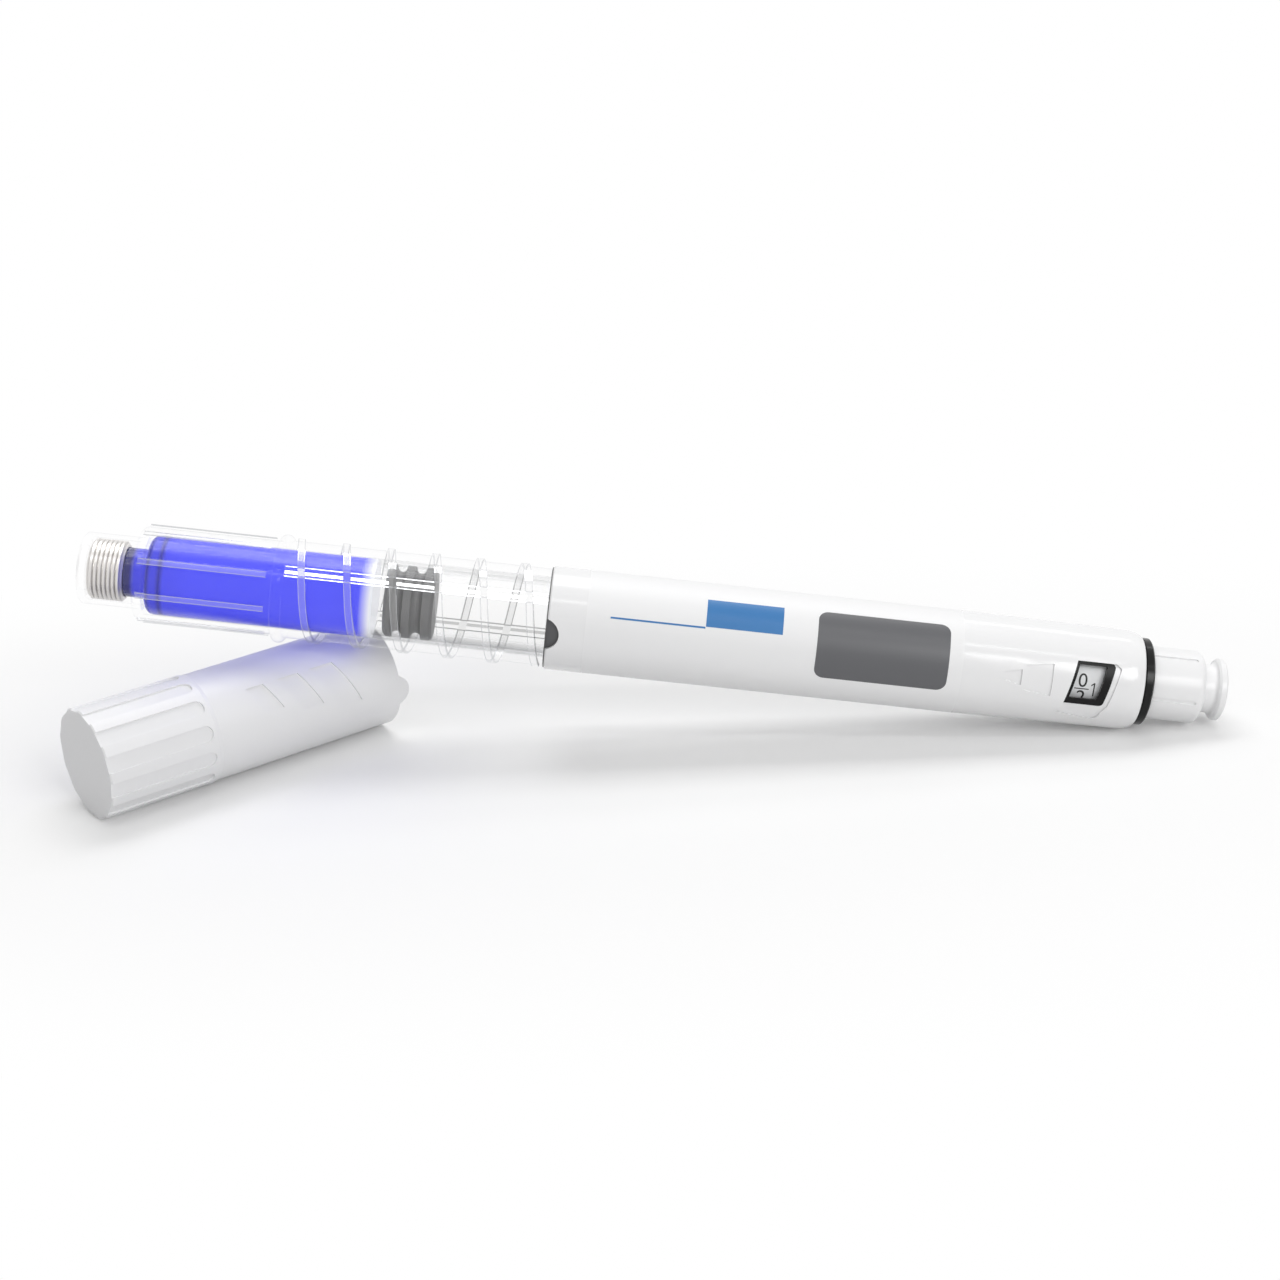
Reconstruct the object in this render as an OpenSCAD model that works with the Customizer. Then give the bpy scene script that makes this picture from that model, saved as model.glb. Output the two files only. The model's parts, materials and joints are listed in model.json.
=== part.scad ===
// Dial-dose injection pen with a clear cartridge holder, resting on its own cap.
// The pen runs along its axis from the nose (0) to the button. Turns about the axis are
// counted upwards from the side that faces the viewer. The floor is z = 0.

/* [Cartridge] */
// Outer diameter of the glass barrel
glass_d = 11.6; // [11:0.1:12]
// Wall of the glass barrel
glass_wall = 0.5; // [0.45:0.01:1]
// Outer diameter of the glass neck
neck_d = 7.2; // [6.8:0.1:7.4]
// Bore of the glass neck
neck_bore = 5; // [4:0.1:5.6]
// Thickness of the glass shoulder, along the pen
shoulder_t = 1.6; // [1.2:0.1:2]
// Outer rounding of the glass shoulder
shoulder_round = 1.5; // [1:0.1:2]
// Length of the glass bead that the crimp grips
bead_len = 2.6; // [2.2:0.1:3]
// Outer diameter of the crimp over its rolled ridges
crimp_d = 8.8; // [8.6:0.1:9]
// Depth of the rolled ridges
ridge_depth = 0.18; // [0.1:0.01:0.2]
// Number of rolled ridges
ridge_count = 7; // [5:1:8]
// Sheet thickness of the crimp
crimp_sheet = 0.25; // [0.2:0.01:0.3]
// Diameter of the needle hole in the crimp
crimp_hole = 4.2; // [3:0.1:5]
// Thickness of the rubber septum
septum_t = 1.8; // [1.4:0.1:2]
// Place of the plunger's front face
plunger_z = 43.9; // [36:0.1:50]
// Length of the rubber plunger
plunger_len = 7.1; // [6:0.1:8]
// Depth of the plunger's waists
waist_depth = 0.95; // [0.4:0.05:1.2]

/* [Holder] */
// Outer diameter of the clear nose
nose_d = 10.4; // [10.2:0.1:10.8]
// Wall of the clear nose
nose_wall = 0.65; // [0.5:0.05:0.7]
// Length of the nose up to the shoulder
nose_len = 8.2; // [8:0.1:8.6]
// Thickness of the nose's front lip
lip_t = 1.1; // [0.8:0.1:1.4]
// Diameter of the needle port in the lip
port_d = 6.6; // [6:0.1:7.5]
// Wall of the holder ahead of the collar
front_wall = 0.95; // [0.8:0.05:1.1]
// Number of grip ribs ahead of the collar
rib_count = 9; // [6:1:12]
// Width of a grip rib
rib_w = 0.9; // [0.7:0.05:1.2]
// Height of a grip rib
rib_h = 0.4; // [0.3:0.05:0.5]
// Turn of the first grip rib
rib_turn = -3.8; // [-20:0.1:20]
// Free length between the ribs' ends and the collar
rib_stop = 0.75; // [0.5:0.05:1.5]
// Place of the collar that stops the cap
collar_z = 28.9; // [26:0.1:32]
// Width of the collar
collar_w = 1.9; // [1.6:0.1:2.4]
// Height of the collar over the tube behind it
collar_h = 0.8; // [0.7:0.02:1.1]
// Wall of the holder behind the collar
rear_wall = 1.17; // [1.05:0.01:1.2]
// Pitch of the helical rib
helix_pitch = 6.5; // [5.5:0.1:8]
// Width of the helical rib along the pen
helix_w = 1.3; // [1:0.1:1.6]
// Height of the helical rib
helix_h = 0.4; // [0.3:0.05:0.5]
// Turn at which the helical rib starts
helix_turn = 160; // [0:1:360]
// Width of the two long rails
rail_w = 1.65; // [1.2:0.05:2]
// Height of the two long rails
rail_h = 0.2; // [0.15:0.05:0.3]
// Turn of the first rail
rail_turn = 42.8; // [30:0.1:60]
// Depth of the holder's spigot in the housing
spigot_len = 4.5; // [4:0.1:6]
// Wall of the spigot
spigot_wall = 0.5; // [0.45:0.05:0.6]
// Lip of the dark seat ring between the holder and the housing
gasket_t = 0.15; // [0.1:0.01:0.25]

/* [Housing] */
// Place of the housing's front edge
body_z = 67.55; // [66:0.1:70]
// Outer diameter of the housing
body_d = 15; // [14.8:0.1:15.6]
// Length of the housing
body_len = 85.95; // [84:0.05:90]
// Wall of the housing round the mechanism
body_wall = 1.2; // [1.1:0.05:1.3]
// Loss of radius along the tail's taper
taper_drop = 0.25; // [0.1:0.05:0.35]
// Length of the tail's taper
taper_len = 24; // [15:1:40]
// Length of the rounded rear end
tail_round = 3; // [2.5:0.1:3.5]
// Outer diameter of the rear face
tail_d = 12.8; // [12.4:0.1:13.2]
// Width of the half-round notch in the front edge
notch_w = 4.6; // [3.6:0.1:5]
// Depth of the half-round notch
notch_depth = 1.8; // [1.2:0.1:2.2]
// Turn of the half-round notch
notch_turn = 2.5; // [-10:0.5:10]

/* [Window] */
// Distance from the window's middle to the housing's rear end
window_inset = 7.9; // [7.1:0.1:8.9]
// Length of the window frame along the pen
window_len = 5.6; // [5:0.1:6]
// Height of the window frame across the pen
window_h = 6.3; // [5.6:0.1:6.6]
// Turn of the window's middle
window_turn = 12.8; // [5:0.1:20]
// Lean of the window's sides along the pen
window_lean = 1.3; // [0:0.1:1.6]
// Rim of the frame on its narrow sides
rim_narrow = 0.5; // [0.4:0.05:0.6]
// Rim of the frame on its broad sides
rim_broad = 1.1; // [0.8:0.05:1.3]
// Depth of the scoop round the window
scoop_depth = 0.3; // [0.2:0.05:0.35]
// Reach of the scoop behind the frame
scoop_back = 0.75; // [0.4:0.05:1]
// Reach of the scoop below the frame
scoop_low = 2.25; // [1.6:0.05:2.6]
// Depth of the pointer's relief
pointer_depth = 0.3; // [0.1:0.05:0.4]

/* [Dial and button] */
// Outer diameter of the black tail ring
ring_d = 12.7; // [12:0.1:13]
// Width of the black tail ring
ring_w = 1.3; // [1:0.1:1.6]
// Outer diameter of the dose knob
knob_d = 10.6; // [9.9:0.1:10.8]
// Length of the dose knob
knob_len = 7.9; // [7.8:0.1:9]
// Number of grip grooves on the knob
groove_count = 5; // [3:1:12]
// Width of a grip groove
groove_w = 0.6; // [0.4:0.05:1]
// Depth of a grip groove
groove_depth = 0.2; // [0.1:0.05:0.4]
// Turn of the first grip groove
groove_turn = 68; // [0:1:72]
// Outer diameter of the dial sleeve
sleeve_d = 8.4; // [8.2:0.1:8.6]
// Wall of the dial sleeve
sleeve_wall = 1; // [0.8:0.05:1.05]
// Wall of the dose drum
drum_wall = 0.8; // [0.6:0.05:0.9]
// Length of the dose drum
drum_len = 16.5; // [14:0.5:18]
// Diameter of the button's stem
stem_d = 7.1; // [6.8:0.1:7.2]
// Diameter of the button's flange
button_d = 9; // [8.6:0.1:9.6]
// Thickness of the button's flange
button_t = 1.25; // [1:0.05:1.6]
// Travel of the button
press = 1.8; // [1.2:0.1:1.9]

/* [Mechanism] */
// Diameter of the lead screw
rod_d = 6; // [5.6:0.1:6.2]
// Distance across the lead screw's two flats
rod_flats = 5; // [4.6:0.1:5.2]
// Diameter of the foot that pushes the plunger
foot_d = 8.8; // [8:0.1:9]
// Thickness of the foot
foot_t = 1.6; // [1.2:0.1:2]
// Length of the rod guide
guide_len = 6; // [4:0.5:8]
// Length of the drive nut
nut_len = 10; // [9:0.5:12]
// Diameter of the drive nut
nut_d = 10; // [9.8:0.1:10.2]
// Number of clicks in a full turn
click_count = 30; // [20:1:36]
// Wire of the cartridge spring
cart_wire = 0.7; // [0.5:0.05:0.8]
// Wire of the drive spring
drive_wire = 0.8; // [0.6:0.05:0.9]
// Turns of the drive spring
drive_turns = 13; // [8:1:15]
// Wire of the button spring
button_wire = 0.5; // [0.4:0.05:0.6]

/* [Cap] */
// Wall of the cap
cap_wall = 0.62; // [0.55:0.01:0.7]
// Room for a fitted needle between the nose and the closed end
needle_room = 17.5; // [14:0.5:24]
// Thickness of the cap's closed end
cap_end_t = 1.2; // [1:0.1:1.8]
// Number of grip flutes
flute_count = 13; // [10:1:15]
// Length of the flutes
flute_len = 16.1; // [12:0.1:20]
// Width of a flute
flute_w = 2.3; // [1.6:0.1:2.6]
// Depth of a flute
flute_depth = 0.35; // [0.2:0.05:0.45]
// Turn of the first flute
flute_turn = 17.9; // [0:0.1:27]
// Extra radius of the fluted grip
grip_rise = 0.15; // [0.1:0.05:0.25]
// Depth of the slanted marks
mark_depth = 0.3; // [0.1:0.05:0.35]

/* [Resting place] */
// Yaw of the cap under the pen
cap_yaw = 39.4; // [30:0.1:60]
// Place along the cap, from its closed end, where the pen crosses it
cross_cap = 35.25; // [30:0.05:40]
// Place of that crossing behind the collar
cross_offset = 1.75; // [1:0.05:6]
// Gap between the pen and the cap
rest_gap = 0.2; // [0.15:0.05:0.6]

/* [Hidden] */
$fn = 72;

// Clearances and cutting overrun
slip = 0.05;
seat = 0.02;
over = 0.5;

// Small sizes of the cartridge and its crimp
crimp_roll = 0.4;
crimp_edge = 0.3;
shoulder_wall = 1.2;
ridge_shares = [0.25, 0.75];
glass_reach = 1.95;
plunger_edge = 0.4;
waist_shares = [0.27, 0.66];
waist_w_share = 0.23;

// Small sizes of the holder
nose_edge = 0.4;
shoulder_edge = 0.7;
rib_foot = 0.3;
helix_crest_share = 0.8;
helix_stop = 0.4;

// Small sizes of the housing and its tail
body_edge = 0.2;
ring_seat_len = 3;
tail_wall = 1.9;
frame_corner = 0.6;
frame_rise = 0.15;
lens_sink = 0.1;
lens_t = 0.5;
rim_low = 0.9;
scoop_corner = 1.1;
scoop_front_share = 0.7;
pointer_lead = 12.5;
pointer_lens = [2.5, 4];
pointer_gap = 0.45;
pointer_hs = [2.3, 3.7, 4.7];
ring_edge = 0.2;

// Small sizes of the mechanism
cart_ring_t = 0.8;
cart_spring_len = 5;
cart_turns = 3;
nut_flange_t = 1.5;
retainer_t = 2;
dog_count = 8;
dog_h = 0.8;
dog_w = 1.4;
clutch_gap = 0.3;
ratchet_t = 3;
ratchet_depth = 0.4;
tooth_share = 0.7;
pawl_count = 3;
pawl_turns = [40, 8];
click_hub = 0.5;
web_t = 1.2;
run = 0.3;
bush_flange = 0.4;
knob_socket = 3.2;
knob_web = 1;
knob_edge = 1.1;
clip_t = 0.7;
clip_w = 0.55;
stem_wall = 0.95;
stem_roof = 1.2;
button_edge = 0.3;
flare = 0.5;
dish_depth = 0.2;
button_turns = 4;
button_coil_r = 1.9;
foot_edge = 0.3;

// Small sizes of the cap
cap_edge = 0.2;
grip_end = 0.5;
grip_slope = 0.6;
tongue_w = 4.5;
tongue_len = 1.5;
tongue_turn = -3.3;
mark_count = 3;
mark_z = 23;
mark_step = 5.2;
mark_w = 2.8;
mark_grow = 0.5;
mark_top = 2.7;
mark_low = 1.4;
mark_low_step = 1.2;
mark_turn = 30;
mark_lean_share = 0.45;

// Radii of the glass, the holder and the cap, from the inside outwards
glass_r = glass_d / 2;
glass_in = glass_r - glass_wall;
neck_r = neck_d / 2;
crimp_in = crimp_d / 2 - ridge_depth - crimp_sheet;
pocket_r = nose_d / 2 - nose_wall;
holder_in = glass_r + 2 * slip;
front_r = holder_in + front_wall;
rib_r = front_r + rib_h;
rear_r = holder_in + rear_wall;
collar_r = rear_r + collar_h;
spigot_r = holder_in + spigot_wall;
cap_in = rib_r + slip + seat;
cap_r = cap_in + cap_wall;
grip_r = cap_r + grip_rise;

// Radii of the housing and what turns in it
body_r = body_d / 2;
socket_r = spigot_r + slip;
ring_seat_r = (socket_r + body_r) / 2;
mech_r = body_r - body_wall;
tail_r = body_r - taper_drop;
sleeve_r = sleeve_d / 2;
sleeve_in = sleeve_r - sleeve_wall;
bush_in = sleeve_r + 2 * slip;
tail_bore = knob_d / 2;
drum_r = mech_r - run;
knob_r = knob_d / 2;
stem_r = stem_d / 2;
clip_r = stem_r + clip_w;
button_r = button_d / 2;
scoop_r = tail_r - scoop_depth;
pointer_r = (body_r + tail_r) / 2 - pointer_depth;

// Places along the cartridge and the holder
crimp_z = lip_t + 3 * slip;
septum_z = crimp_z + crimp_sheet + seat;
bead_z = septum_z + septum_t + seat;
bead_end = bead_z + bead_len;
crimp_end = bead_end + seat + crimp_roll;
shoulder_z = nose_len + shoulder_wall + 2 * slip;
barrel_z = shoulder_z + shoulder_t;
glass_end = body_z + glass_reach;
collar_front = collar_z - collar_w / 2;
collar_back = collar_z + collar_w / 2;
rib_z = nose_len + shoulder_edge + slip;
rib_end = collar_front - rib_stop;
gasket_z = body_z - gasket_t;
plunger_end = plunger_z + plunger_len;
plunger_travel = plunger_z - barrel_z - run;

// Places along the mechanism
socket_end = body_z + spigot_len + 4 * slip;
cart_ring_z = glass_end + slip;
cart_spring_z = cart_ring_z + cart_ring_t + slip;
guide_z = cart_spring_z + cart_spring_len + slip;
nut_z = guide_z + guide_len + slip;
retainer_z = nut_z + nut_flange_t + slip;
nut_end = nut_z + nut_len;
sleeve_z = nut_end + 2 * dog_h + clutch_gap;
ratchet_z = sleeve_z + dog_w;
body_end = body_z + body_len;
tail_inner = body_end - tail_wall;
taper_end = body_end - tail_round;
taper_z = taper_end - taper_len;
window_z = body_end - window_inset;
pointer_z = window_z - pointer_lead;
bush_z = tail_inner - bush_flange;
drum_end = bush_z - 2 * slip;
drum_z = drum_end - drum_len;
ring_z = body_end + seat;
knob_z = ring_z + ring_w + 2 * slip;
sleeve_end = knob_z + knob_socket - slip;
web_end = knob_z + knob_socket + knob_web;
lip_z = web_end + press + clip_t + 2 * slip;
knob_end = knob_z + knob_len;
clip_z = lip_z - slip - clip_t;
flange_z = knob_end + press + 4 * slip;
pen_end = flange_z + button_t;
foot_z = cart_ring_z;
foot_end = foot_z + foot_t;
rod_travel = foot_z - plunger_end - run;
rod_end = nut_end + rod_travel + plunger_travel + run;

// Sizes of the cap's mouth and of the notches
cap_len = cap_end_t + needle_room + collar_front;
tongue_r = (tongue_w * tongue_w / 4 + tongue_len * tongue_len) / (2 * tongue_len);
notch_r = (notch_w * notch_w / 4 + notch_depth * notch_depth) / (2 * notch_depth);
collar_notch_turn = notch_turn + 180;

// The pen rests on the cap at one end and on the rounded tail at the other. Its tilt follows
// from both heights: each depends a little on the tilt, so three rounds settle it.
cross_z = collar_z + cross_offset;
tail_drop = tail_r - tail_d / 2;
function tail_h(t) = tail_d / 2 * cos(t) + norm([tail_round * sin(t), tail_drop * cos(t)]);
function lift(t) = norm([sin(t), cos(t) * sin(cap_yaw)]) / (cos(t) * sin(cap_yaw));
function cross_h(t) = grip_r + (cap_r + collar_r + rest_gap) * lift(t);
function next_tilt(t) = asin((cross_h(t) - tail_h(t)) / (taper_end - cross_z));
tilt = next_tilt(next_tilt(next_tilt(0)));

// The origin is on the floor, under the middle of the whole resting object
reach_back = cross_cap * cos(cap_yaw) + grip_r * sin(cap_yaw);
reach_ahead = (pen_end - cross_z) * cos(tilt) + button_r * sin(tilt);
cross_x = (reach_back - reach_ahead) / 2;
reach_near = cross_cap * sin(cap_yaw) + grip_r * cos(cap_yaw);
reach_far = (cap_len - cross_cap) * sin(cap_yaw) + cap_r * cos(cap_yaw);
cross_y = (reach_near - reach_far) / 2;

// Puts a piece that is drawn along +Z from the nose into the resting pen
module in_pen() {
    translate([cross_x, cross_y, tail_h(tilt) + (taper_end - cross_z) * sin(tilt)])
        rotate([0, 90 + tilt, 0])
            translate([0, 0, -cross_z])
                children();
}

// Puts a piece that is drawn along +Z from the closed end into the lying cap
module in_cap() {
    translate([cross_x, cross_y, grip_r])
        rotate([0, 90, cap_yaw])
            translate([0, 0, -cross_cap])
                children();
}

// Faces an outline outwards at a turn and a place: its x runs along the piece, its y upwards
module on_side(turn, z) {
    rotate([0, 0, -90 - turn])
        translate([0, 0, z])
            rotate([0, 90, 0])
                rotate([0, 0, 180])
                    children();
}

module tube(r_out, r_in, z, h) {
    rotate_extrude()
        translate([r_in, z])
            square([r_out - r_in, h]);
}

module disc(r, z, h) {
    translate([0, 0, z])
        cylinder(r = r, h = h);
}

// Points on a quarter or other stretch of an ellipse, in radius and height
function arc(r, z, a, b, from, to, steps) =
    [for (i = [0:steps]) let (t = from + (to - from) * i / steps) [r + a * cos(t), z + b * sin(t)]];

// One strip wound round the axis: four corners a station, closed at both ends
module winding(r_in, r_out, w, crest_share, z, pitch, start, turns, steps) {
    n = ceil(turns * steps);
    half = w / 2;
    crest = half * crest_share;
    corners = [[r_in, -half], [r_out, -crest], [r_out, crest], [r_in, half]];
    points = [
        for (i = [0:n], c = corners)
            let (t = i / n * turns)
                [
                    c[0] * cos(start + 360 * t),
                    c[0] * sin(start + 360 * t),
                    z + pitch * t + c[1]
                ]
    ];
    sides = [
        for (i = [0:n - 1], k = [0:3])
            let (a = 4 * i + k, b = 4 * i + (k + 1) % 4)
                [a, b, b + 4, a + 4]
    ];
    polyhedron(points, concat([[3, 2, 1, 0]], sides, [[4 * n, 4 * n + 1, 4 * n + 2, 4 * n + 3]]));
}

// A coil spring of round wire: eight rings a curl, six sides. It prints its least gap.
module coil(r, wire, z, h, turns) {
    n = turns * 8;
    pitch = (h - wire) / turns;
    echo(coil_gap = norm([pitch, 0]) * r / norm([r, pitch / (2 * PI)]) - wire);
    points = [
        for (i = [0:n], k = [0:5])
            let (t = 360 * i / 8, ring = r + wire / 2 * cos(60 * k))
                [
                    ring * cos(t),
                    ring * sin(t),
                    z + wire / 2 + pitch * i / 8 + wire / 2 * sin(60 * k)
                ]
    ];
    sides = [
        for (i = [0:n - 1], k = [0:5])
            let (a = 6 * i + k, b = 6 * i + (k + 1) % 6)
                [a, b, b + 6, a + 6]
    ];
    ends = [[for (k = [5:-1:0]) k], [for (k = [0:5]) 6 * n + k]];
    polyhedron(points, concat(sides, ends));
}

// A plate whose narrow sides lean, with both corners of its rear side rounded
module leaning_plate(w, h, lean, corner) {
    ease = lean * corner / h;
    polygon(concat(
        [[-w / 2 - lean / 2, -h / 2]],
        arc((w - lean) / 2 + ease - corner, corner - h / 2, corner, corner, -90, 0, 4),
        arc((w + lean) / 2 - ease - corner, h / 2 - corner, corner, corner, 0, 90, 4),
        [[-w / 2 + lean / 2, h / 2]]
    ));
}

// The cap: fluted at its closed end, smooth towards the mouth, with one round tongue
module cap() {
    color([0.93, 0.93, 0.94, 0.9]) in_cap() {
        difference() {
            union() {
                rotate_extrude()
                    polygon([
                        [0, 0],
                        [grip_r - cap_edge, 0],
                        [grip_r, cap_edge],
                        [grip_r, flute_len + grip_end],
                        [cap_r, flute_len + grip_end + grip_slope],
                        [cap_r, cap_len],
                        [0, cap_len]
                    ]);
                intersection() {
                    tube(cap_r, cap_in - slip, cap_len - over, tongue_len + 2 * over);
                    on_side(tongue_turn, cap_len + tongue_len - tongue_r)
                        cylinder(r = tongue_r, h = grip_r + over);
                }
            }
            disc(cap_in, cap_end_t, cap_len + tongue_len);
            for (i = [0:flute_count - 1])
                groove_cut(
                    flute_turn + 360 * i / flute_count, 0, flute_len, grip_r - flute_depth, flute_w
                );
            for (k = [0:mark_count - 1])
                cap_mark(k);
        }
    }
}

// Cut for a lengthwise groove with a flat floor and one round end
module groove_cut(turn, start, len, floor_r, w) {
    on_side(turn, start)
        translate([0, 0, floor_r]) {
            translate([-over, -w / 2, 0])
                cube([over + len - w / 2, w, over]);
            translate([len - w / 2, 0, 0])
                cylinder(r = w / 2, h = over);
        }
}

// One of the slanted shallow marks, which grow towards the mouth
module cap_mark(k) {
    w = mark_w + mark_grow * k;
    low = mark_low + mark_low_step * k;
    lean = (mark_top + low) * mark_lean_share;
    intersection() {
        on_side(mark_turn, mark_z + mark_step * k)
            linear_extrude(grip_r + over)
                polygon([[0, mark_top], [w, mark_top], [w + lean, -low], [lean, -low]]);
        tube(grip_r + over, cap_r - mark_depth, mark_z - over, cap_len);
    }
}

// The clear holder: nose, ribbed front that carries the cap, collar, wound rear, spigot
module cartridge_holder() {
    color([0.85, 0.92, 1, 0.35]) in_pen() {
        difference() {
            union() {
                holder_shell();
                for (i = [0:rib_count - 1])
                    grip_rib(rib_turn + 360 * i / rib_count);
                for (turn = [rail_turn, rail_turn + 180])
                    rail(turn);
                winding(
                    rear_r - rib_foot, rear_r + helix_h, helix_w, helix_crest_share,
                    collar_back + helix_stop + helix_w / 2, helix_pitch, helix_turn,
                    (gasket_z - collar_back - helix_w - 2 * helix_stop) / helix_pitch, 40
                );
            }
            collar_notch();
        }
    }
}

module holder_shell() {
    outside = concat(
        [[port_d / 2, 0], [nose_d / 2 - nose_edge, 0], [nose_d / 2, nose_edge], [nose_d / 2, nose_len]],
        arc(front_r - shoulder_edge, nose_len + shoulder_edge, shoulder_edge, shoulder_edge, -90, 0, 5),
        [[front_r, collar_front]],
        arc(rear_r, collar_z, collar_h, collar_w / 2, -80, 90, 8),
        [[rear_r, gasket_z - slip], [spigot_r, gasket_z - slip], [spigot_r, body_z + spigot_len]]
    );
    inside = [
        [holder_in, body_z + spigot_len],
        [holder_in, nose_len + shoulder_wall],
        [pocket_r, nose_len + shoulder_wall],
        [pocket_r, lip_t],
        [port_d / 2, lip_t]
    ];
    rotate_extrude()
        polygon(concat(outside, inside));
}

module grip_rib(turn) {
    on_side(turn, rib_z)
        translate([0, -rib_w / 2, front_r - rib_foot])
            cube([rib_end - rib_z, rib_w, rib_h + rib_foot]);
}

module rail(turn) {
    on_side(turn, collar_z)
        translate([0, -rail_w / 2, rear_r - rib_foot])
            cube([gasket_z - 2 * slip - collar_z, rail_w, rail_h + rib_foot]);
}

// Takes the cap's tongue
module collar_notch() {
    intersection() {
        tube(collar_r + over, cap_in - slip, collar_front - over, collar_w + over);
        on_side(collar_notch_turn, collar_front + tongue_len - tongue_r)
            cylinder(r = tongue_r + 2 * slip, h = collar_r + 2 * over);
    }
}

// Glass barrel with its shoulder, neck and bead
module cartridge_glass() {
    color([0.8, 0.9, 0.95, 0.35]) in_pen()
        rotate_extrude()
            polygon(concat(
                [
                    [neck_bore / 2, bead_z],
                    [crimp_in - seat, bead_z],
                    [crimp_in - seat, bead_end],
                    [neck_r, bead_end],
                    [neck_r, shoulder_z]
                ],
                arc(glass_r - shoulder_round, shoulder_z + shoulder_round,
                    shoulder_round, shoulder_round, -90, 0, 6),
                [
                    [glass_r, glass_end],
                    [glass_in, glass_end],
                    [glass_in, barrel_z],
                    [neck_bore / 2, barrel_z]
                ]
            ));
}

// Metal crimp over the septum, with rolled ridges
module crimp_cap() {
    step = (crimp_end - crimp_z - 2 * crimp_edge) / ridge_count;
    low_r = crimp_d / 2 - ridge_depth;
    ridges = [
        for (i = [0:ridge_count - 1])
            each [
                [low_r, crimp_z + crimp_edge + step * i],
                [crimp_d / 2, crimp_z + crimp_edge + step * (i + ridge_shares[0])],
                [crimp_d / 2, crimp_z + crimp_edge + step * (i + ridge_shares[1])]
            ]
    ];
    color([0.75, 0.75, 0.76]) in_pen()
        rotate_extrude()
            polygon(concat(
                [[crimp_hole / 2, crimp_z], [low_r - crimp_edge, crimp_z]],
                ridges,
                [
                    [low_r, crimp_end - crimp_edge],
                    [low_r - crimp_edge, crimp_end],
                    [neck_r + slip, crimp_end],
                    [neck_r + slip, bead_end + seat],
                    [crimp_in, bead_end + seat],
                    [crimp_in, septum_z - seat],
                    [crimp_hole / 2, septum_z - seat]
                ]
            ));
}

// Rubber disc that the needle pierces
module septum() {
    color([0.35, 0.33, 0.33]) in_pen()
        disc(crimp_in - seat, septum_z, septum_t);
}

// The dose in the neck and barrel, up to the plunger
module liquid() {
    color([0.25, 0.28, 1, 0.8]) in_pen()
        rotate_extrude()
            polygon([
                [0, bead_z + slip],
                [neck_bore / 2 - slip, bead_z + slip],
                [neck_bore / 2 - slip, barrel_z + slip],
                [glass_in - slip, barrel_z + slip],
                [glass_in - slip, plunger_z - slip],
                [0, plunger_z - slip]
            ]);
}

// Rubber plunger with two waists
module plunger() {
    r = glass_in - slip;
    half = plunger_len * waist_w_share / 2;
    waists = [
        for (share = waist_shares)
            each arc(r, plunger_z + plunger_len * share, -waist_depth, half, -90, 90, 8)
    ];
    color([0.3, 0.3, 0.31]) in_pen()
        rotate_extrude()
            polygon(concat(
                [[0, plunger_z], [r - plunger_edge, plunger_z], [r, plunger_z + plunger_edge]],
                waists,
                [[r, plunger_end - plunger_edge], [r - plunger_edge, plunger_end], [0, plunger_end]]
            ));
}

// White housing: notched front edge, scoop and opening for the window, tapered round tail
module housing() {
    color([0.95, 0.95, 0.95]) in_pen()
        difference() {
            rotate_extrude()
                polygon(concat(
                    [
                        [ring_seat_r, body_z],
                        [body_r - body_edge, body_z],
                        [body_r, body_z + body_edge],
                        [body_r, taper_z],
                        [tail_r, taper_end]
                    ],
                    arc(tail_d / 2, taper_end, tail_drop, tail_round, 0, 90, 8),
                    [
                        [tail_bore, body_end],
                        [tail_bore, tail_inner],
                        [mech_r, tail_inner],
                        [mech_r, socket_end],
                        [socket_r, socket_end],
                        [socket_r, body_z + ring_seat_len],
                        [ring_seat_r, body_z + ring_seat_len]
                    ]
                ));
            on_side(notch_turn, body_z + notch_depth - notch_r)
                cylinder(r = notch_r, h = body_r + over);
            scoop();
            pointer();
            on_side(window_turn, window_z)
                linear_extrude(body_r + over)
                    leaning_plate(window_len + 2 * seat, window_h + 2 * seat, window_lean, frame_corner);
        }
}

// A shallow recess that runs past the frame behind it and below it
module scoop() {
    front = -(window_len + window_lean) / 2;
    rear = (window_len - window_lean) / 2;
    low = -window_h / 2 - scoop_low;
    intersection() {
        on_side(window_turn, window_z)
            linear_extrude(body_r + over)
                polygon(concat(
                    [
                        [front + window_lean - seat, window_h / 2 + seat],
                        [front - seat, -window_h / 2],
                        [front - scoop_back, -window_h / 2 - scoop_low * scoop_front_share]
                    ],
                    arc(rear - scoop_corner, low + scoop_corner, scoop_corner, scoop_corner, -90, 0, 5),
                    [
                        [rear + scoop_back, -window_h / 2],
                        [rear + window_lean + scoop_back, window_h / 2 - frame_corner],
                        [rear + window_lean, window_h / 2 + seat]
                    ]
                ));
        tube(body_r + over, scoop_r, window_z - window_len, 2 * window_len);
    }
}

// A small and a larger wedge that point at the window
module pointer() {
    next = pointer_lens[0] + pointer_gap;
    last = next + pointer_lens[1];
    hs = pointer_hs / 2;
    intersection() {
        on_side(window_turn, pointer_z)
            linear_extrude(body_r + over) {
                polygon([
                    [0, -hs[0] / 2],
                    [pointer_lens[0], -hs[0]],
                    [pointer_lens[0], hs[0]],
                    [0, hs[0] / 2]
                ]);
                polygon([[next, -hs[1]], [last, -hs[2]], [last, hs[2]], [next, hs[1]]]);
            }
        tube(body_r + over, pointer_r, pointer_z - over, last + 2 * over);
    }
}

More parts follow.
